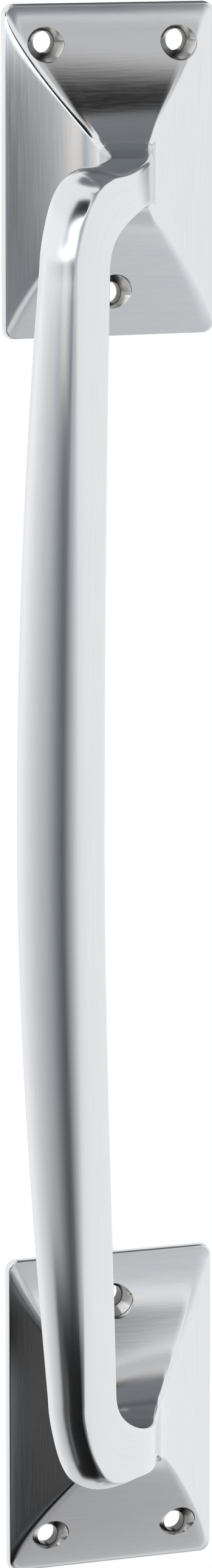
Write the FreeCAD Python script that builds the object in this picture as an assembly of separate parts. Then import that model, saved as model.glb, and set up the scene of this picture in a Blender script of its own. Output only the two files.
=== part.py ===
import FreeCAD, Part
import math
import os

# Offset pull handle: one casting. Sizes in millimetres. The door face is the plane y = 0,
# the handle stands out towards -y, z is up, and the middle of the handle is at z = 0.

# Rose plates
overall_height = 300.0        # top of the upper plate to bottom of the lower plate
plate_width = 41.4
plate_height = 61.8
plate_edge = 2.2              # thickness at the rim
edge_round = 0.5              # height of the softened rim
rim_draft = 0.4               # each side of the rim leans in by this much
plate_corner = 2.0            # corner radius seen from the front

# Pyramid pedestals. A flank falls in from the rim until its reach, a share of the rise, and then
# runs on into the neck. The upper pedestal was dressed slimmer than the lower one.
neck_reach = 23.7             # the pedestal ends and the crank begins this far off the door
neck_width = 7.8
neck_height = 8.2
neck_lean = 3.5               # how far the neck has leaned over to the left
lean_power = 2.5              # above 1 the lean comes late
lower_shift = 1.15            # the lower neck stands this far right of the upper one
upper_side_reach = 0.40       # left and right flanks
upper_end_reach = 0.43        # upper and lower flanks
lower_side_reach = 0.67
lower_end_reach = 0.64
side_power = 0.99             # below 1 the left and right flanks leave the rim flat
end_power = 0.74              # the same for the upper and lower flanks
side_blend = 0.34             # softness of the side flanks' run into the neck
end_blend = 0.26              # the same for the upper and lower flanks
hip_radius = 0.8              # softness of the pedestal's four ridges at the neck

# Crank
crank_out = 15.2              # pull of the curve straight on from the neck
crank_down = 10.2             # pull of the curve back up from the grip
crank_swell = 3.5             # extra metal on the outside of the bend
swell_share = 0.625           # share of the crank at which the swell is fullest
swell_spread_share = 0.18     # share of the crank from there to where it has mostly gone

# Grip
grip_end = 105.3              # height above the middle at which the grip begins
grip_left = 23.3              # offset of the grip's middle to the left of the plates
grip_reach = 41.5             # distance of the grip's axis from the door, at its middle
grip_bow = 4.2                # how much the axis falls back between its middle and its end
grip_turn = 59.4              # degrees that the outer face turns to the left
grip_end_width = 9.85
grip_end_depth = 11.3
grip_mid_width = 14.0
grip_mid_depth = 11.5
grip_crown = 1.3              # rise of the rounded outer face over its edges
ridge_radius = 3.0            # front ridge of the grip, at its middle
heel_radius = 2.6             # the other three edges of the grip

# Screw holes, countersunk for flat heads
screw_bore = 4.0
sink_width = 7.4
sink_angle = 90.0
screw_across = 26.0           # between the two outer screws of a plate
screw_inset = 7.0             # from the end of the handle to the outer screws
centre_screw_share = 0.1327   # share of the plate's height from its inner end to the single screw

# Numbers of sections, for smoothness only
pedestal_steps = 12
crank_steps = 15
grip_steps = 5
section_crowding = 1.8        # above 1 the pedestal's sections crowd towards the rim
sink_clear = 12.0             # the sink's straight wall runs on this far, clear of the flank
least_crown = 0.02            # keeps the outer face of every section the same kind of curve

plate_middle = overall_height / 2.0 - plate_height / 2.0
rim_half_width = plate_width / 2.0 - rim_draft
rim_half_height = plate_height / 2.0 - rim_draft
pedestal_rise = neck_reach - plate_edge


def ease(share):
    """Smooth start and stop between 0 and 1."""
    share = min(max(share, 0.0), 1.0)
    return share * share * (3.0 - 2.0 * share)


def soft_fall(share, reach, power, blend):
    """Falls from the rim towards the neck, and levels out softly after its reach."""
    fall = 1.0 - (share / reach) ** power
    return (fall + math.sqrt(fall * fall + blend * blend)) / 2.0


def flank_size(share, rim, neck, shape):
    """Width or height of the pedestal at a share of its rise, between its rim and neck sizes."""
    start = soft_fall(0.0, *shape)
    end = soft_fall(1.0, *shape)
    return neck + (rim - neck) * (soft_fall(share, *shape) - end) / (start - end)


def end_flank_height(half, shape):
    """Distance from the door of the upper or lower flank where its half size is given."""
    reach, power, blend = shape
    start = soft_fall(0.0, *shape)
    end = soft_fall(1.0, *shape)
    ratio = (half - neck_height / 2.0) / (rim_half_height - neck_height / 2.0)
    now = end + ratio * (start - end)
    fall = now - blend * blend / 4.0 / now
    return plate_edge + pedestal_rise * reach * (1.0 - fall) ** (1.0 / power)


def grip_point(z, shift):
    """Axis of the grip, which falls back towards the door away from its middle."""
    turn = math.radians(grip_turn)
    back = grip_bow * (z / grip_end) ** 2
    x = -grip_left + back * math.sin(turn) + shift * ease(z / grip_end)
    return FreeCAD.Vector(x, -grip_reach + back * math.cos(turn), z)


def grip_way(z):
    """Direction of that axis, downwards."""
    turn = math.radians(grip_turn)
    slope = 2.0 * grip_bow * z / grip_end ** 2
    way = FreeCAD.Vector(-slope * math.sin(turn), -slope * math.cos(turn), -1.0)
    return way.normalize()


def section(middle, way, turn, width, height, radii, swell=0.0, crown=0.0, down=False):
    """Rounded rectangle across the axis, fuller on its outer side by the swell and rounded there
    by the crown. The radii go front ridge, left top, left bottom, right bottom."""
    across = FreeCAD.Vector(math.cos(turn), -math.sin(turn), 0.0)
    across = (across - way * across.dot(way)).normalize()
    up = way.cross(across)
    flip = -1.0 if down else 1.0

    def place(u, v):
        p = middle + across * u + up * v
        return FreeCAD.Vector(p.x, p.y, p.z * flip)

    corners = [(1.0, 1.0), (-1.0, 1.0), (-1.0, -1.0), (1.0, -1.0)]
    diagonal = 1.0 - math.sqrt(0.5)
    arcs = []
    for (su, sv), radius, order in zip(corners, radii, (0, 1, 0, 1)):
        u = su * width / 2.0
        v = sv * height / 2.0 + (swell if sv > 0.0 else 0.0)
        side = place(u, v - sv * radius)
        top = place(u - su * radius, v)
        mid = place(u - su * radius * diagonal, v - sv * radius * diagonal)
        ends = (side, top) if order == 0 else (top, side)
        arcs.append((ends[0], mid, ends[1]))
    crest = place(0.0, height / 2.0 + swell + max(crown, least_crown))
    edges = []
    for k, arc in enumerate(arcs):
        edges.append(Part.Arc(arc[0], arc[1], arc[2]).toShape())
        start = arc[2]
        end = arcs[(k + 1) % 4][0]
        if k == 0:
            edges.append(Part.Arc(start, crest, end).toShape())
        else:
            edges.append(Part.LineSegment(start, end).toShape())
    return Part.Wire(edges)


def rim_section(y, inset, down):
    """Outline of the plate at a distance from the door, smaller all round by the inset."""
    width = plate_width - 2.0 * inset
    height = plate_height - 2.0 * inset
    middle = FreeCAD.Vector(0.0, -y, plate_middle)
    outward = FreeCAD.Vector(0.0, -1.0, 0.0)
    return section(middle, outward, 0.0, width, height, [plate_corner] * 4, down=down)


def pedestal_stations(side_shape, end_shape, shift):
    """Sections of the hollow pyramid, from the rim to the neck, which leans to the left."""
    stations = []
    for k in range(pedestal_steps + 1):
        share = (float(k) / pedestal_steps) ** section_crowding
        x = shift * share - neck_lean * share ** lean_power
        middle = FreeCAD.Vector(x, -plate_edge - pedestal_rise * share, plate_middle)
        lean = shift - neck_lean * lean_power * share ** (lean_power - 1.0)
        way = FreeCAD.Vector(lean * ease(share), -pedestal_rise, 0.0).normalize()
        width = flank_size(share, 2.0 * rim_half_width, neck_width, side_shape)
        height = flank_size(share, 2.0 * rim_half_height, neck_height, end_shape)
        corner = hip_radius + (plate_corner - hip_radius) * (1.0 - share) ** 2
        stations.append((middle, way, 0.0, width, height, [corner] * 4))
    return stations


def crank_stations(neck, neck_way, shift):
    """Sections along a cubic curve from the neck to the grip, turning to the left on the way."""
    grip_start = grip_point(grip_end, shift)
    pull_one = neck + neck_way * crank_out
    pull_two = grip_start - grip_way(grip_end) * crank_down
    stations = []
    for k in range(1, crank_steps + 1):
        s = float(k) / crank_steps
        r = 1.0 - s
        middle = neck * (r ** 3) + pull_one * (3 * r * r * s)
        middle = middle + pull_two * (3 * r * s * s) + grip_start * (s ** 3)
        way = (pull_one - neck) * (r * r) + (pull_two - pull_one) * (2 * r * s)
        way = way + (grip_start - pull_two) * (s * s)
        blend = ease(s)
        turn = math.radians(grip_turn) * blend
        width = neck_width + (grip_end_width - neck_width) * blend
        height = neck_height + (grip_end_depth - neck_height) * blend
        heel = hip_radius + (heel_radius - hip_radius) * blend
        swell = crank_swell * math.exp(-((s - swell_share) / swell_spread_share) ** 2)
        radii = [hip_radius, heel, heel, heel]
        crown = grip_crown * blend
        stations.append((middle, way.normalize(), turn, width, height, radii, swell, crown))
    return stations


def grip_stations(shift):
    """Sections from below the crank to the middle of the grip, where it is widest."""
    stations = []
    for k in range(1, grip_steps + 1):
        z = grip_end * (grip_steps - k) / grip_steps
        taper = (z / grip_end) ** 2
        width = grip_mid_width + (grip_end_width - grip_mid_width) * taper
        depth = grip_mid_depth + (grip_end_depth - grip_mid_depth) * taper
        ridge = ridge_radius + (hip_radius - ridge_radius) * taper
        radii = [ridge, heel_radius, heel_radius, heel_radius]
        turn = math.radians(grip_turn)
        stations.append((grip_point(z, shift), grip_way(z), turn, width, depth, radii, 0.0, grip_crown))
    return stations


def half_stations(side_shape, end_shape, shift):
    """All sections of one end, from its plate to the middle of the grip."""
    stations = pedestal_stations(side_shape, end_shape, shift)
    stations += crank_stations(stations[-1][0], stations[-1][1], shift)
    return stations + grip_stations(shift)


def plate(down):
    """Flat rose with a leaning rim and a softened front edge."""
    back = rim_section(0.0, 0.0, down)
    shoulder = rim_section(plate_edge - edge_round, rim_draft / 2.0, down)
    front = rim_section(plate_edge, rim_draft, down)
    body = Part.makeLoft([back, shoulder], True, True)
    soft = Part.makeLoft([shoulder, front], True, True)
    return body.fuse(soft)


def screw_hole(x, z, height):
    """Bore right through, then a cone up to sink_width at the given height, then a straight wall."""
    bottom = height - (sink_width - screw_bore) / 2.0 / math.tan(math.radians(sink_angle / 2.0))
    outward = FreeCAD.Vector(0.0, -1.0, 0.0)
    bore = Part.makeCylinder(screw_bore / 2.0, bottom + plate_edge, FreeCAD.Vector(x, plate_edge, z), outward)
    cone = Part.makeCone(screw_bore / 2.0, sink_width / 2.0, height - bottom, FreeCAD.Vector(x, -bottom, z), outward)
    wall = Part.makeCylinder(sink_width / 2.0, sink_clear, FreeCAD.Vector(x, -height, z), outward)
    return bore.fuse([cone, wall])


def build_handle():
    upper_side = (upper_side_reach, side_power, side_blend)
    upper_end = (upper_end_reach, end_power, end_blend)
    lower_side = (lower_side_reach, side_power, side_blend)
    lower_end = (lower_end_reach, end_power, end_blend)
    upper = [section(*station) for station in half_stations(upper_side, upper_end, 0.0)]
    lower_half = half_stations(lower_side, lower_end, lower_shift)
    lower = [section(*station, down=True) for station in reversed(lower_half[:-1])]
    body = Part.makeLoft(upper + lower, True, False)
    handle = body.fuse([plate(False), plate(True)])
    outer_z = overall_height / 2.0 - screw_inset
    inner_z = overall_height / 2.0 - plate_height * (1.0 - centre_screw_share)
    holes = []
    for up, shape in ((1.0, upper_end), (-1.0, lower_end)):
        outer_height = end_flank_height(outer_z - plate_middle, shape)
        inner_height = end_flank_height(plate_middle - inner_z, shape)
        for side in (1.0, -1.0):
            holes.append(screw_hole(side * screw_across / 2.0, up * outer_z, outer_height))
        holes.append(screw_hole(0.0, up * inner_z, inner_height))
    return handle.cut(holes).removeSplitter()


os.makedirs("parts", exist_ok=True)
handle = build_handle()
if handle.ShapeType == "Compound" and len(handle.Solids) == 1:
    handle = handle.Solids[0]
handle.exportStep("parts/offset_pull_handle.step")
print("valid", handle.isValid(), "solids", len(handle.Solids), "volume", round(handle.Volume, 1))
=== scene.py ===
import bpy
import numpy as np
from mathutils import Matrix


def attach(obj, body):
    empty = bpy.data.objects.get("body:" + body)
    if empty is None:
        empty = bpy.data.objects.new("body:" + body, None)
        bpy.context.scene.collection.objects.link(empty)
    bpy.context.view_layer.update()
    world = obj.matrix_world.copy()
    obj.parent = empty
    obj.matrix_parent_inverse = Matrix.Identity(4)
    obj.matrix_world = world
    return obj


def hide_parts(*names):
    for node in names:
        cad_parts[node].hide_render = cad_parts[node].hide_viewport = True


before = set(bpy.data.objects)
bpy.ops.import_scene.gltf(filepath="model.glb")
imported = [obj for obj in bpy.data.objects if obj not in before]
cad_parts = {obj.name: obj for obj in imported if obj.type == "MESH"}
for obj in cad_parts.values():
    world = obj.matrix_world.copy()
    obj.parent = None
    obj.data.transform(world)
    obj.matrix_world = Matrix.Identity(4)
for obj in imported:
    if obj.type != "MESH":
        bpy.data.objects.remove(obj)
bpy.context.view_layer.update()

# The handle itself: one metal casting, plated in satin chrome. Two rectangular roses rise in
# hollow pyramids to a small neck, which cranks over into a squarish grip bowed off the door.
# It was brushed face by face before plating: across the pedestals and along the arm and grip.
# Sizes are in millimetres, and the mesh is scaled to metres where it is made.
overall_height = 300.0
plate_width = 41.4
plate_height = 61.8
plate_edge = 2.2
edge_round = 0.45
rim_draft, side_lean = 0.4, 0.1
back_break_height, back_break_inset = 0.6, 0.12
plate_corner = 2.0
neck_reach = 23.7
neck_width = 7.8
neck_height = 8.2
neck_lean, lean_power = 3.5, 2.5
lower_shift = 1.15
upper_sides, upper_ends = (0.40, 0.99, 0.34), (0.43, 0.74, 0.26)
lower_sides, lower_ends = (0.67, 0.99, 0.34), (0.64, 0.74, 0.26)
flank_dish = 0.2
hip_radius = 0.8
crank_out, crank_down = 15.2, 10.2
crank_swell, swell_share, swell_spread = 3.5, 0.625, 0.18
grip_end = 105.3
grip_left = 23.3
grip_reach = 41.5
grip_bow = 4.2
grip_turn = np.radians(59.4)
grip_end_width, grip_end_depth = 9.85, 11.3
grip_mid_width, grip_mid_depth = 14.0, 11.5
ridge_radius = 3.0
outer_crown, back_crown, side_crown = 1.3, 0.25, 0.35
heel_radius = 2.6
plate_middle = overall_height / 2.0 - plate_height / 2.0
pedestal_rise = neck_reach - plate_edge
rim_rings, pedestal_rings, crank_rings, grip_rings = 7, 70, 60, 70
ring_crowding = 1.8
corner_points, face_points = 9, 25


def ease(share):
    """Smooth start and stop: 3 s squared minus 2 s cubed, held between 0 and 1."""
    share = np.clip(share, 0.0, 1.0)
    return share * share * (3.0 - 2.0 * share)


def soft_fall(share, reach, power, blend):
    """With f = 1 - (share / reach)^power: (f + root of (f^2 + blend^2)) / 2, which falls and
    levels out."""
    fall = 1.0 - (share / reach) ** power
    return (fall + np.sqrt(fall * fall + blend * blend)) / 2.0


def flank_size(share, rim, neck, shape):
    """The soft fall, scaled so that it runs from the rim's size to the neck's: a hollow flank."""
    start, end = soft_fall(0.0, *shape), soft_fall(1.0, *shape)
    return neck + (rim - neck) * (soft_fall(share, *shape) - end) / (start - end)


def grip_axis(z, shift):
    """The grip's axis at height z: it falls back towards the door with the square of z, and moves
    right by the shift towards its end."""
    back = grip_bow * (z / grip_end) ** 2
    x = -grip_left + back * np.sin(grip_turn) + shift * ease(z / grip_end)
    return np.stack([x, -grip_reach + back * np.cos(grip_turn), z], -1)


def grip_way(z):
    """Downward direction of the grip's axis: the derivative of its square law."""
    slope = 2.0 * grip_bow * z / grip_end ** 2
    way = np.stack([-slope * np.sin(grip_turn), -slope * np.cos(grip_turn), -np.ones_like(z)], -1)
    return way / np.linalg.norm(way, axis=-1, keepdims=True)


def rim_stations():
    """The rose's broken back edge, leaning rim and quarter-round front edge. Like the next three,
    it gives each ring's middle, way, turn, size, four corner radii, four crowns and swell."""
    angle = np.linspace(0.0, np.pi / 2.0, rim_rings - 2)
    round_height = plate_edge - edge_round + edge_round * np.sin(angle)
    round_inset = side_lean + (rim_draft - side_lean) * (1.0 - np.cos(angle))
    height = np.concatenate([[0.0, back_break_height], round_height])
    inset = np.concatenate([[back_break_inset, 0.0], round_inset])
    zero = np.zeros_like(height)
    middle = np.stack([zero, -height, zero + plate_middle], -1)
    way = np.tile([0.0, -1.0, 0.0], (len(height), 1))
    size = np.stack([plate_width - 2.0 * inset, plate_height - 2.0 * inset], -1)
    radii = np.full((len(height), 4), plate_corner)
    return middle, way, zero, size, radii, np.zeros_like(radii), zero


def pedestal_stations(sides, ends, shift):
    """Rings of the hollow pyramid, from the rim to the neck; their middle moves by shift times
    share, minus the lean times share^lean_power, to the left. The two side flanks are dished by
    the dish times 6.75 r (1 - r)^2, r running from the rim to the flank's reach: one dish at most."""
    share = np.linspace(0.0, 1.0, pedestal_rings)[1:] ** ring_crowding
    zero = np.zeros_like(share)
    x = shift * share - neck_lean * share ** lean_power
    middle = np.stack([x, -plate_edge - pedestal_rise * share, zero + plate_middle], -1)
    lean = shift - neck_lean * lean_power * share ** (lean_power - 1.0)
    way = np.stack([lean * ease(share), zero - pedestal_rise, zero], -1)
    width = flank_size(share, plate_width - 2.0 * rim_draft, neck_width, sides)
    run = np.clip(share / sides[0], 0.0, 1.0)
    width = width - 2.0 * flank_dish * 6.75 * run * (1.0 - run) ** 2
    height = flank_size(share, plate_height - 2.0 * rim_draft, neck_height, ends)
    corner = hip_radius + (plate_corner - hip_radius) * (1.0 - share) ** 2
    radii = np.repeat(corner[:, None], 4, 1)
    return middle, way, zero, np.stack([width, height], -1), radii, np.zeros_like(radii), zero


def crank_stations(shift):
    """Rings along a cubic curve from the neck to the grip, while the section turns to the left."""
    neck = np.array([shift - neck_lean, -neck_reach, plate_middle])
    out = np.array([shift - neck_lean * lean_power, -pedestal_rise, 0.0])
    out = out / np.linalg.norm(out)
    start = grip_axis(np.array(grip_end), shift)
    pull_one = neck + out * crank_out
    pull_two = start - grip_way(np.array(grip_end)) * crank_down
    s = np.linspace(0.0, 1.0, crank_rings)[1:, None]
    r = 1.0 - s
    middle = neck * r ** 3 + pull_one * 3.0 * r * r * s + pull_two * 3.0 * r * s * s + start * s ** 3
    way = (pull_one - neck) * r * r + (pull_two - pull_one) * 2.0 * r * s + (start - pull_two) * s * s
    share = s[:, 0]
    blend = ease(share)
    width = neck_width + (grip_end_width - neck_width) * blend
    depth = neck_height + (grip_end_depth - neck_height) * blend
    heel = hip_radius + (heel_radius - hip_radius) * blend
    radii = np.stack([np.full_like(heel, hip_radius), heel, heel, heel], -1)
    crown = blend[:, None] * np.array([outer_crown, back_crown, back_crown, side_crown])
    swell = crank_swell * np.exp(-((share - swell_share) / swell_spread) ** 2)
    return middle, way, grip_turn * blend, np.stack([width, depth], -1), radii, crown, swell


def grip_stations(shift):
    """Rings down to the middle of the grip, which is widest there and has its softest ridge."""
    z = grip_end * (1.0 - np.linspace(0.0, 1.0, grip_rings)[1:])
    taper = (z / grip_end) ** 2
    width = grip_mid_width + (grip_end_width - grip_mid_width) * taper
    depth = grip_mid_depth + (grip_end_depth - grip_mid_depth) * taper
    ridge = ridge_radius + (hip_radius - ridge_radius) * taper
    heel = np.full_like(z, heel_radius)
    crown = np.tile([outer_crown, back_crown, back_crown, side_crown], (len(z), 1))
    radii = np.stack([ridge, heel, heel, heel], -1)
    size, turn = np.stack([width, depth], -1), np.full_like(z, grip_turn)
    return grip_axis(z, shift), grip_way(z), turn, size, radii, crown, np.zeros_like(z)


def outline(size, radii, crown, swell):
    """Rounded rectangles, one a row: four corner arcs, ridge first, with faces between them that
    rise by crown times 4 s (1 - s). Each arc stops short by the angle whose tangent is 4 crown /
    face length, so that it runs on into the face; swell moves the two outer corners further out."""
    sign = np.array([[1.0, 1.0], [-1.0, 1.0], [-1.0, -1.0], [1.0, -1.0]])
    after = np.roll(radii, -1, 1)
    flat = size[:, [0, 1, 0, 1]] - radii - after
    flat[:, 1] += swell
    flat[:, 3] += swell
    tilt = np.zeros_like(flat)
    for _ in range(4):
        tilt = np.arctan(4.0 * crown / (flat + (radii + after) * np.sin(tilt)))
    swing = np.linspace(0.0, 1.0, corner_points)
    first = np.roll(tilt, 1, 1) + np.arange(4) * np.pi / 2.0
    last = (np.arange(4) + 1.0) * np.pi / 2.0 - tilt
    angle = first[..., None] + (last - first)[..., None] * swing
    spoke = np.stack([np.cos(angle), np.sin(angle)], -1)
    centre = sign[None] * (size[:, None, :] / 2.0 - radii[..., None])
    centre[:, :2, 1] += swell[:, None]
    arcs = centre[:, :, None, :] + radii[:, :, None, None] * spoke
    start, stop = arcs[:, :, -1], np.roll(arcs, -1, 1)[:, :, 0]
    s = np.linspace(0.0, 1.0, face_points + 2)[1:-1]
    outward = np.array([[0.0, 1.0], [-1.0, 0.0], [0.0, -1.0], [1.0, 0.0]])
    faces = start[:, :, None] + (stop - start)[:, :, None] * s[None, None, :, None]
    rise = crown[:, :, None] * (4.0 * s * (1.0 - s))[None, None]
    faces = faces + rise[..., None] * outward[None, :, None]
    ring = np.concatenate([arcs, faces], 2)
    return ring.reshape(len(size), -1, 2)


def half_grid(sides, ends, shift):
    """Rings of points of one end, from the rose's back to the middle of the grip, with the axis
    they stand square to."""
    pedestal = pedestal_stations(sides, ends, shift)
    parts = zip(rim_stations(), pedestal, crank_stations(shift), grip_stations(shift))
    middle, way, turn, size, radii, crown, swell = [np.concatenate(column) for column in parts]
    way = way / np.linalg.norm(way, axis=1, keepdims=True)
    across = np.stack([np.cos(turn), -np.sin(turn), np.zeros_like(turn)], -1)
    across = across - way * np.sum(across * way, 1, keepdims=True)
    across = across / np.linalg.norm(across, axis=1, keepdims=True)
    up = np.cross(way, across)
    flat = outline(size, radii, crown, swell)
    return middle[:, None] + across[:, None] * flat[..., :1] + up[:, None] * flat[..., 1:], middle


def casting_grid():
    """The upper end's rings, then the lower end's, mirrored in height and in turned order."""
    upper, axis = half_grid(upper_sides, upper_ends, 0.0)
    lower = half_grid(lower_sides, lower_ends, lower_shift)[0]
    return np.concatenate([upper, lower[:-1][::-1] * [1.0, 1.0, -1.0]]), axis


def filled_grid(name, grid):
    """Mesh of a closed band of rings, with one flat face over each end ring."""
    rings, points = grid.shape[:2]
    index = np.arange(rings * points).reshape(rings, points)
    after = np.roll(index, -1, 1)
    quads = np.stack([index[:-1], after[:-1], after[1:], index[1:]], -1).reshape(-1, 4)
    mesh = bpy.data.meshes.new(name)
    ends = [index[0][::-1].tolist(), index[-1].tolist()]
    mesh.from_pydata(grid.reshape(-1, 3).tolist(), [], quads.tolist() + ends)
    return mesh


grid, half_axis = casting_grid()
rings, ring_points = grid.shape[:2]
half_rings = (rings + 1) // 2
arm_start = rim_rings + pedestal_rings - 1
step_along = np.linalg.norm(np.diff(half_axis, axis=0), axis=1)
along = np.concatenate([[0.0], np.cumsum(step_along)])
along = np.concatenate([along, 2.0 * along[-1] - along[:-1][::-1]])
grip_girth = 48.0
around = np.arange(ring_points + 1) * (grip_girth / ring_points)
arm_lead, arm_fade = 14.0, 22.0
arm = ease((np.arange(half_rings) - arm_start + arm_lead) / arm_fade)
arm = np.concatenate([arm, arm[:-1][::-1]])
slot_in_ring = np.arange(ring_points) % (corner_points + face_points)
from_corner = np.abs(slot_in_ring - (corner_points - 1) / 2.0)
from_corner = np.minimum(from_corner, corner_points + face_points - from_corner)
ridge_spread = 4.5
ridge = np.exp(-(from_corner / ridge_spread) ** 2)


def paint_grid(mesh):
    """UV in millimetres, around and along the casting, with no break at the seam; arm is 0 on the
    pedestals and 1 from the crank on; ridge is 1 on the four edges and fades over the faces."""
    i, k = np.meshgrid(np.arange(rings - 1), np.arange(ring_points), indexing="ij")
    corner_u = around[np.stack([k, k + 1, k + 1, k], -1)]
    corner_v = along[np.stack([i, i, i + 1, i + 1], -1)]
    end_uv = np.zeros((2 * ring_points, 2))
    uv = np.concatenate([np.stack([corner_u, corner_v], -1).reshape(-1, 2), end_uv])
    mesh.uv_layers.new(name="around_along").data.foreach_set("uv", uv.astype(np.float32).ravel())
    arm_all = np.repeat(arm, ring_points).astype(np.float32)
    ridge_all = np.tile(ridge, rings).astype(np.float32)
    mesh.attributes.new("arm", "FLOAT", "POINT").data.foreach_set("value", arm_all)
    mesh.attributes.new("ridge", "FLOAT", "POINT").data.foreach_set("value", ridge_all)


# The six screw holes: a straight bore with a 90 degree sink, turned after the plating's first
# polish, so the sink is the brightest and smoothest metal on the handle.
screw_bore = 4.0
sink_width = 7.4
screw_across = 26.0
screw_inset = 7.0
centre_share = 0.1327
sink_clear, back_clear = 12.0, 1.5
foot_break, lip_break = 0.12, 0.1
hole_sides, hole_girth = 72, 16.0
hole_depths = np.array([0.0, 4.0, 4.3, 6.5, 6.7, 18.0])
sink_start = 4.15


def flank_height(half, ends):
    """Height of the upper or lower flank above the door where its half size is given: the soft
    fall f there is undone by f - blend^2 / 4f, then by reach times (1 - that)^(1 / power)."""
    reach, power, blend = ends
    start, end = soft_fall(0.0, *ends), soft_fall(1.0, *ends)
    rim, neck = plate_height / 2.0 - rim_draft, neck_height / 2.0
    now = end + (half - neck) / (rim - neck) * (start - end)
    fall = now - blend * blend / 4.0 / now
    return plate_edge + pedestal_rise * reach * (1.0 - fall) ** (1.0 / power)


def hole_tools():
    """Lathe shapes, one a hole: radius against height, carried round a circle at each hole's
    place. The sink's foot and lip are broken by short slopes."""
    outer_z = overall_height / 2.0 - screw_inset
    inner_z = overall_height / 2.0 - plate_height * (1.0 - centre_share)
    places = np.array([[-screw_across / 2.0, outer_z], [screw_across / 2.0, outer_z], [0.0, inner_z]])
    places = np.concatenate([places, places * [1.0, -1.0]])
    half = np.abs(np.abs(places[:3, 1]) - plate_middle)
    mouth = np.concatenate([flank_height(half, upper_ends), flank_height(half, lower_ends)])
    foot = mouth - (sink_width - screw_bore) / 2.0
    bore, rim = screw_bore / 2.0, sink_width / 2.0
    radius = np.array([bore, bore, bore + foot_break, rim - lip_break, rim, rim])
    height = np.stack([np.full_like(foot, -back_clear), foot - foot_break, foot + foot_break,
                       mouth - lip_break, mouth + lip_break, mouth + sink_clear], 1)
    angle = np.arange(hole_sides) * 2.0 * np.pi / hole_sides
    x = places[:, 0, None, None] + radius[None, :, None] * np.cos(angle)
    z = places[:, 1, None, None] + radius[None, :, None] * np.sin(angle)
    y = np.broadcast_to(-height[:, :, None], x.shape)
    return np.stack([x, y, z], -1)


def set_inputs(node, **values):
    """Sets a node's sockets by name, with underscores for spaces."""
    for name, value in values.items():
        node.inputs[name.replace("_", " ")].default_value = value
    return node


def math_node(nodes, links, operation, first, second):
    """One sum, product, power or comparison of two sockets or numbers."""
    node = nodes.new("ShaderNodeMath")
    node.operation = operation
    for place, value in enumerate((first, second)):
        if isinstance(value, bpy.types.NodeSocket):
            links.new(value, node.inputs[place])
        else:
            node.inputs[place].default_value = value
    return node.outputs[0]


def streaks(nodes, links, across, along_face, fineness, length):
    """Noise squeezed across the brushing and drawn out along it, both in turns per millimetre."""
    joined = nodes.new("ShaderNodeCombineXYZ")
    links.new(math_node(nodes, links, "MULTIPLY", across, fineness), joined.inputs[0])
    links.new(math_node(nodes, links, "MULTIPLY", along_face, length), joined.inputs[1])
    noise = nodes.new("ShaderNodeTexNoise")
    set_inputs(noise, Scale=1.0, Detail=4.0, Roughness=0.62)
    links.new(joined.outputs[0], noise.inputs["Vector"])
    return noise.outputs["Fac"]


def ramp(nodes, links, factor, stops):
    """Colour ramp through (place, grey or colour) stops."""
    node = nodes.new("ShaderNodeValToRGB")
    links.new(factor, node.inputs[0])
    while len(node.color_ramp.elements) < len(stops):
        node.color_ramp.elements.new(0.5)
    for element, (place, tone) in zip(node.color_ramp.elements, stops):
        element.position = place
        element.color = (tone, tone, tone, 1.0) if isinstance(tone, float) else (*tone, 1.0)
    return node.outputs[0]


def brushed_satin_chrome():
    """Satin chrome: two sets of brushing streaks, round the pedestals and along the arm and grip,
    drive its tone, roughness and bump; the four edges are rubbed smoother and a shade paler."""
    material = bpy.data.materials.new("brushed_satin_chrome")
    material.use_nodes = True
    nodes, links = material.node_tree.nodes, material.node_tree.links
    shader = nodes["Principled BSDF"]
    set_inputs(shader, Metallic=1.0, Anisotropic=0.45)
    uv = nodes.new("ShaderNodeUVMap")
    uv.uv_map = "around_along"
    split = nodes.new("ShaderNodeSeparateXYZ")
    links.new(uv.outputs[0], split.inputs[0])
    u, v = split.outputs[0], split.outputs[1]
    arm_mark = nodes.new("ShaderNodeAttribute")
    arm_mark.attribute_name = "arm"
    ridge_mark = nodes.new("ShaderNodeAttribute")
    ridge_mark.attribute_name = "ridge"
    on_arm, on_ridge = arm_mark.outputs["Fac"], ridge_mark.outputs["Fac"]
    pair = []
    for fineness, length in ((5.0, 0.11), (1.1, 0.03)):
        mix = nodes.new("ShaderNodeMix")
        links.new(on_arm, mix.inputs[0])
        links.new(streaks(nodes, links, v, u, fineness, length * 3.0), mix.inputs[2])
        links.new(streaks(nodes, links, u, v, fineness, length), mix.inputs[3])
        pair.append(mix.outputs[0])
    fine, broad = pair
    place = nodes.new("ShaderNodeTexCoord")
    cloud = nodes.new("ShaderNodeTexNoise")
    set_inputs(cloud, Scale=38.0, Detail=3.0, Roughness=0.5)
    links.new(place.outputs["Object"], cloud.inputs["Vector"])
    blend = math_node(nodes, links, "MULTIPLY", fine, 0.55)
    for part, share in ((broad, 0.3), (cloud.outputs["Fac"], 0.15), (on_ridge, 0.06)):
        blend = math_node(nodes, links, "ADD", blend, math_node(nodes, links, "MULTIPLY", part, share))
    tone = ramp(nodes, links, blend, [(0.3, (0.72, 0.735, 0.75)), (0.5, (0.755, 0.768, 0.782)),
                                      (0.72, (0.79, 0.8, 0.81))])
    links.new(tone, shader.inputs["Base Color"])
    rough = math_node(nodes, links, "MULTIPLY_ADD", fine, 0.1)
    rough.node.inputs[2].default_value = 0.08
    for part, share in ((on_ridge, -0.02), (on_arm, 0.05)):
        rough = math_node(nodes, links, "ADD", rough, math_node(nodes, links, "MULTIPLY", part, share))
    links.new(rough, shader.inputs["Roughness"])
    bump = set_inputs(nodes.new("ShaderNodeBump"), Strength=0.35, Distance=0.00001)
    links.new(fine, bump.inputs["Height"])
    links.new(bump.outputs[0], shader.inputs["Normal"])
    tangent = nodes.new("ShaderNodeTangent")
    tangent.direction_type = "UV_MAP"
    tangent.uv_map = "around_along"
    links.new(tangent.outputs[0], shader.inputs["Tangent"])
    turn = math_node(nodes, links, "LESS_THAN", on_arm, 0.5)
    links.new(math_node(nodes, links, "MULTIPLY", turn, 0.25), shader.inputs["Anisotropic Rotation"])
    return material


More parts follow.
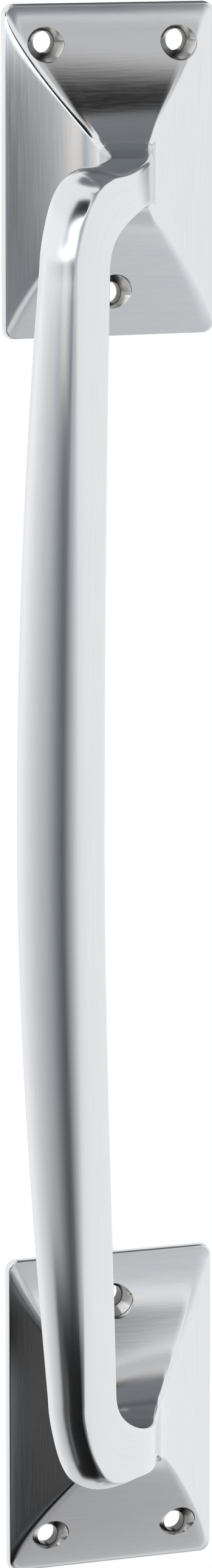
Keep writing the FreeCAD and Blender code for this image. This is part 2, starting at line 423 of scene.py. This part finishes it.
def turned_chrome_and_bore_shade():
    """Bright turned metal of the sinks and bores: fine rings, from noise that changes mostly with depth.
    The bore's wall, up to sink_start in the UV map's depth, has painted shade: its colour is cut to 0.18
    of the sink's."""
    material = bpy.data.materials.new("turned_chrome_and_bore_shade")
    material.use_nodes = True
    nodes, links = material.node_tree.nodes, material.node_tree.links
    shader = set_inputs(nodes["Principled BSDF"], Metallic=1.0)
    uv = nodes.new("ShaderNodeUVMap")
    uv.uv_map = "around_along"
    split = nodes.new("ShaderNodeSeparateXYZ")
    links.new(uv.outputs[0], split.inputs[0])
    turns = streaks(nodes, links, split.outputs[1], split.outputs[0], 7.0, 0.08)
    tone = ramp(nodes, links, turns, [(0.3, (0.62, 0.6, 0.58)), (0.7, (0.8, 0.8, 0.79))])
    # Painted shade: below sink_start the bore's wall has its colour cut to 0.18, and the sink keeps its
    # full colour.
    in_sink = math_node(nodes, links, "GREATER_THAN", split.outputs[1], sink_start)
    depth = math_node(nodes, links, "MULTIPLY_ADD", in_sink, 0.82)
    depth.node.inputs[2].default_value = 0.18
    shade = nodes.new("ShaderNodeVectorMath")
    shade.operation = "SCALE"
    links.new(tone, shade.inputs[0])
    links.new(depth, shade.inputs["Scale"])
    links.new(shade.outputs[0], shader.inputs["Base Color"])
    rough = math_node(nodes, links, "MULTIPLY_ADD", turns, 0.12)
    rough.node.inputs[2].default_value = 0.1
    links.new(rough, shader.inputs["Roughness"])
    bump = set_inputs(nodes.new("ShaderNodeBump"), Strength=0.5, Distance=0.00001)
    links.new(turns, bump.inputs["Height"])
    links.new(bump.outputs[0], shader.inputs["Normal"])
    return material


handle_mesh = filled_grid("pull_handle_casting", grid * 0.001)
paint_grid(handle_mesh)
handle_mesh.materials.append(brushed_satin_chrome())
casting = bpy.data.objects.new("pull_handle_casting", handle_mesh)
bpy.context.scene.collection.objects.link(casting)

sink_metal_and_bore_shade = turned_chrome_and_bore_shade()
hole_turn = np.arange(hole_sides + 1) * (hole_girth / hole_sides)
i, k = np.meshgrid(np.arange(len(hole_depths) - 1), np.arange(hole_sides), indexing="ij")
tool_u = hole_turn[np.stack([k, k + 1, k + 1, k], -1)]
tool_v = hole_depths[np.stack([i, i, i + 1, i + 1], -1)]
tool_uv = np.concatenate([np.stack([tool_u, tool_v], -1).reshape(-1, 2), np.zeros((2 * hole_sides, 2))])
tool_uv = tool_uv.astype(np.float32).ravel()
for number, tool in enumerate(hole_tools()):
    tool_mesh = filled_grid("hole_tool", tool * 0.001)
    tool_mesh.uv_layers.new(name="around_along").data.foreach_set("uv", tool_uv)
    tool_mesh.materials.append(sink_metal_and_bore_shade)
    cutter = bpy.data.objects.new("hole_tool_%d" % number, tool_mesh)
    bpy.context.scene.collection.objects.link(cutter)
    cut = casting.modifiers.new(cutter.name, "BOOLEAN")
    cut.object = cutter
    cut.operation = "DIFFERENCE"
    cut.solver = "EXACT"
    cut.material_mode = "TRANSFER"
drilled = bpy.data.meshes.new_from_object(casting.evaluated_get(bpy.context.evaluated_depsgraph_get()))
for cut in list(casting.modifiers):
    bpy.data.objects.remove(cut.object)
casting.modifiers.clear()
casting.data = drilled
drilled.shade_smooth()
drilled.set_sharp_from_angle(angle=np.radians(38.0))
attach(casting, "root")
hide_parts("offset_pull_handle")


# The studio: a pale round table below, a white surround, one soft lamp at the left, and graded grey
# and black cards with two strip lights, which only the metal sees, as a photographer sets them round
# chrome to draw its edges.
def direction(azimuth, elevation):
    """Unit vector: azimuth 0 is towards the viewer (-y), 90 to the right; elevation is upwards."""
    a, e = np.radians(azimuth), np.radians(elevation)
    return np.stack([np.sin(a) * np.cos(e), -np.cos(a) * np.cos(e), np.sin(e)], -1)


def card(name, corners, tones, fade, tint, distance):
    """Four-cornered patch of a sphere round the handle, as far off as the distance in metres.
    Corners, as (azimuth, elevation), and tones run lower left, lower right, upper right, upper left,
    and are blended evenly in between; fade gives the share of the patch over which its left, right,
    lower and upper border clear away."""
    cells = 28
    s, t = np.meshgrid(np.linspace(0.0, 1.0, cells + 1), np.linspace(0.0, 1.0, cells + 1))
    weight = np.stack([(1.0 - s) * (1.0 - t), s * (1.0 - t), s * t, (1.0 - s) * t], -1)
    place, tone = weight @ np.array(corners, float), weight @ np.array(tones, float)
    cover = ease(s / fade[0]) * ease((1.0 - s) / fade[1]) * ease(t / fade[2]) * ease((1.0 - t) / fade[3])
    index = np.arange((cells + 1) ** 2).reshape(cells + 1, cells + 1)
    quads = np.stack([index[:-1, :-1], index[:-1, 1:], index[1:, 1:], index[1:, :-1]], -1)
    points = direction(place[..., 0], place[..., 1]) * distance
    mesh = bpy.data.meshes.new(name)
    mesh.from_pydata(points.reshape(-1, 3).tolist(), [], quads.reshape(-1, 4).tolist())
    material = bpy.data.materials.new(name)
    material.use_nodes = True
    nodes, links = material.node_tree.nodes, material.node_tree.links
    nodes.remove(nodes["Principled BSDF"])
    glow = set_inputs(nodes.new("ShaderNodeEmission"), Color=(*tint, 1.0))
    mixed = nodes.new("ShaderNodeMixShader")
    marks = ((tone, "tone", glow.inputs["Strength"]), (cover, "cover", mixed.inputs[0]))
    for values, title, socket in marks:
        layer = mesh.attributes.new(title, "FLOAT", "POINT")
        layer.data.foreach_set("value", values.astype(np.float32).ravel())
        mark = nodes.new("ShaderNodeAttribute")
        mark.attribute_name = title
        links.new(mark.outputs["Fac"], socket)
    links.new(nodes.new("ShaderNodeBsdfTransparent").outputs[0], mixed.inputs[1])
    links.new(glow.outputs[0], mixed.inputs[2])
    links.new(mixed.outputs[0], nodes["Material Output"].inputs["Surface"])
    mesh.materials.append(material)
    shape = bpy.data.objects.new(name, mesh)
    bpy.context.scene.collection.objects.link(shape)
    shape.visible_camera = False
    shape.visible_diffuse = False
    shape.visible_shadow = False


cool, pale_cool = (0.92, 0.985, 1.05), (0.965, 0.99, 1.015)
plain, warm = (1.0, 0.99, 1.0), (1.04, 0.99, 0.95)
card("far_left_sweep", [(-160, -62), (-56, -62), (-56, 17), (-146, 17)], [1.1, 0.15, 0.5, 1.25],
     (0.12, 0.02, 0.25, 0.06), plain, 0.43)
card("left_sweep", [(-74, -52), (-46, -52), (-46, 18), (-74, 18)], [0.42, 0.0, 0.13, 0.74],
     (0.2, 0.01, 0.1, 0.06), cool, 0.41)
card("front_sweep", [(-56, -52), (64, -52), (64, 18), (-56, 18)], [0.0, 0.92, 1.05, 0.08],
     (0.01, 0.15, 0.1, 0.06), pale_cool, 0.42)
card("flank_sweep", [(-50, -3), (4, -3), (4, 19), (-50, 19)], [0.1, 0.5, 0.85, 0.16],
     (0.08, 0.3, 0.5, 0.06), cool, 0.4)
card("flank_edge_card", [(-48, 13.5), (-36, 13.5), (-36, 25), (-48, 25)], [0.7, 0.0, 0.04, 0.85],
     (0.12, 0.12, 0.3, 0.06), plain, 0.3)
card("flank_glow_card", [(-62, 15), (-46, 15), (-46, 24.5), (-62, 24.5)], [0.7, 0.85, 0.9, 0.75],
     (0.4, 0.12, 0.3, 0.1), warm, 0.301)
card("low_dark_card", [(-66, -76), (-24, -76), (-24, -39), (-86, -36)], [0.02, 0.0, 0.0, 0.02],
     (0.2, 0.01, 0.2, 0.14), warm, 0.2)
card("low_flank_card", [(-68, -61), (-61, -61), (-61, -40), (-68, -40)], [0.05, 0.0, 0.0, 0.22],
     (0.1, 0.12, 0.1, 0.1), warm, 0.199)
card("low_edge_card", [(-61.2, -61), (-57, -61), (-57, -44), (-61.2, -44)], [0.26, 0.28, 0.28, 0.26],
     (0.25, 0.2, 0.1, 0.25), cool, 0.198)
card("low_shade_card", [(-40, -74), (8, -70), (40, -38), (-36, -39)], [0.02, 0.06, 0.35, 0.0],
     (0.01, 0.25, 0.2, 0.14), warm, 0.205)
card("low_front_card", [(-70, -86), (150, -86), (130, -48), (-18, -50)], [0.16, 0.5, 1.0, 0.45],
     (0.1, 0.2, 0.05, 0.15), plain, 0.4)
card("strip_light", [(-172, 14), (-70, 16), (-70, 30), (-172, 30)], [1.1, 1.1, 1.1, 1.1],
     (0.1, 0.1, 0.25, 0.25), plain, 0.385)
card("bright_strip", [(-86, 20), (-14, 20.5), (-14, 24.3), (-86, 25)], [1.3, 2.6, 2.6, 1.3],
     (0.2, 0.05, 0.15, 0.1), cool, 0.38)
card("arm_dark_card", [(-72, 23.5), (-17, 23), (-26, 50), (-54, 46)], [0.0, 0.0, 0.0, 0.06],
     (0.2, 0.1, 0.02, 0.25), cool, 0.379)
card("upper_band_card", [(-14, 44), (38, 52), (38, 64), (-12, 54)], [0.0, 0.0, 0.0, 0.0],
     (0.2, 0.2, 0.4, 0.25), warm, 0.389)
card("upper_light_card", [(-14, 37), (50, 39), (50, 54), (-12, 49)], [0.5, 0.5, 0.78, 0.7],
     (0.3, 0.2, 0.3, 0.25), plain, 0.4)
card("upper_grey_card", [(-26, 38), (45, 38), (50, 62), (-30, 60)], [0.5, 0.75, 0.35, 0.3],
     (0.2, 0.3, 0.3, 0.1), warm, 0.41)
card("neck_grey_card", [(-8, 20), (36, 20), (34, 40), (-8, 40)], [0.15, 0.15, 0.35, 0.35],
     (0.25, 0.35, 0.25, 0.25), cool, 0.4)
card("ceiling_card", [(4, 53), (180, 58), (180, 89), (4, 89)], [0.25, 0.25, 0.2, 0.2],
     (0.06, 0.01, 0.15, 0.01), cool, 0.43)
card("rear_ceiling_card", [(-180, 68), (12, 68), (12, 89), (-180, 89)], [0.25, 0.25, 0.2, 0.2],
     (0.01, 0.01, 0.4, 0.01), cool, 0.43)
card("back_dark_card", [(112, 6), (172, 6), (172, 72), (108, 72)], [0.3, 0.06, 0.08, 0.25],
     (0.25, 0.15, 0.15, 0.2), cool, 0.4)

table_radius, table_height, table_sides = 0.36, -0.42, 96
table_top = bpy.data.meshes.new("pale_table")
table_angle = np.linspace(0.0, 2.0 * np.pi, table_sides + 1)[:-1]
table_ring = np.stack([table_radius * np.cos(table_angle), table_radius * np.sin(table_angle),
                       np.full(table_sides, table_height)], -1)
table_top.from_pydata(table_ring.tolist(), [], [list(range(table_sides))])
table_paint = bpy.data.materials.new("pale_table")
table_paint.use_nodes = True
table_shader = table_paint.node_tree.nodes["Principled BSDF"]
set_inputs(table_shader, Base_Color=(0.8, 0.8, 0.8, 1.0), Roughness=0.8)
table_top.materials.append(table_paint)
table = bpy.data.objects.new("pale_table", table_top)
bpy.context.scene.collection.objects.link(table)

world = bpy.data.worlds.new("white_surround")
bpy.context.scene.world = world
world.use_nodes = True
set_inputs(world.node_tree.nodes["Background"], Color=(1.0, 1.0, 1.0, 1.0), Strength=1.0)


def soft_lamp(name, azimuth, elevation, distance, width, height, power):
    """Area lamp at a direction from the handle's middle, facing it."""
    data = bpy.data.lights.new(name, "AREA")
    data.shape = "RECTANGLE"
    data.size = width
    data.size_y = height
    data.energy = power
    lamp = bpy.data.objects.new(name, data)
    bpy.context.scene.collection.objects.link(lamp)
    lamp.location = (direction(azimuth, elevation) * distance).tolist()
    lamp.rotation_euler = lamp.location.to_track_quat("Z", "Y").to_euler()


soft_lamp("left_soft_lamp", -50.0, 22.5, 0.36, 0.16, 0.02, 0.012)

# The camera that was fitted to the photograph: from the left and above, turned 19 degrees to the
# right and looking 10 degrees down.
camera_data = bpy.data.cameras.new("camera")
camera_data.lens = 132.06
camera_data.sensor_width = 36.0
camera_data.clip_start = 0.05
camera = bpy.data.objects.new("camera", camera_data)
bpy.context.scene.collection.objects.link(camera)
camera.location = (-0.353696, -1.012237, 0.200327)
camera.rotation_euler = np.radians([79.57238, 0.02071, -19.25956]).tolist()
bpy.context.scene.camera = camera
bpy.context.scene.view_settings.view_transform = "Standard"
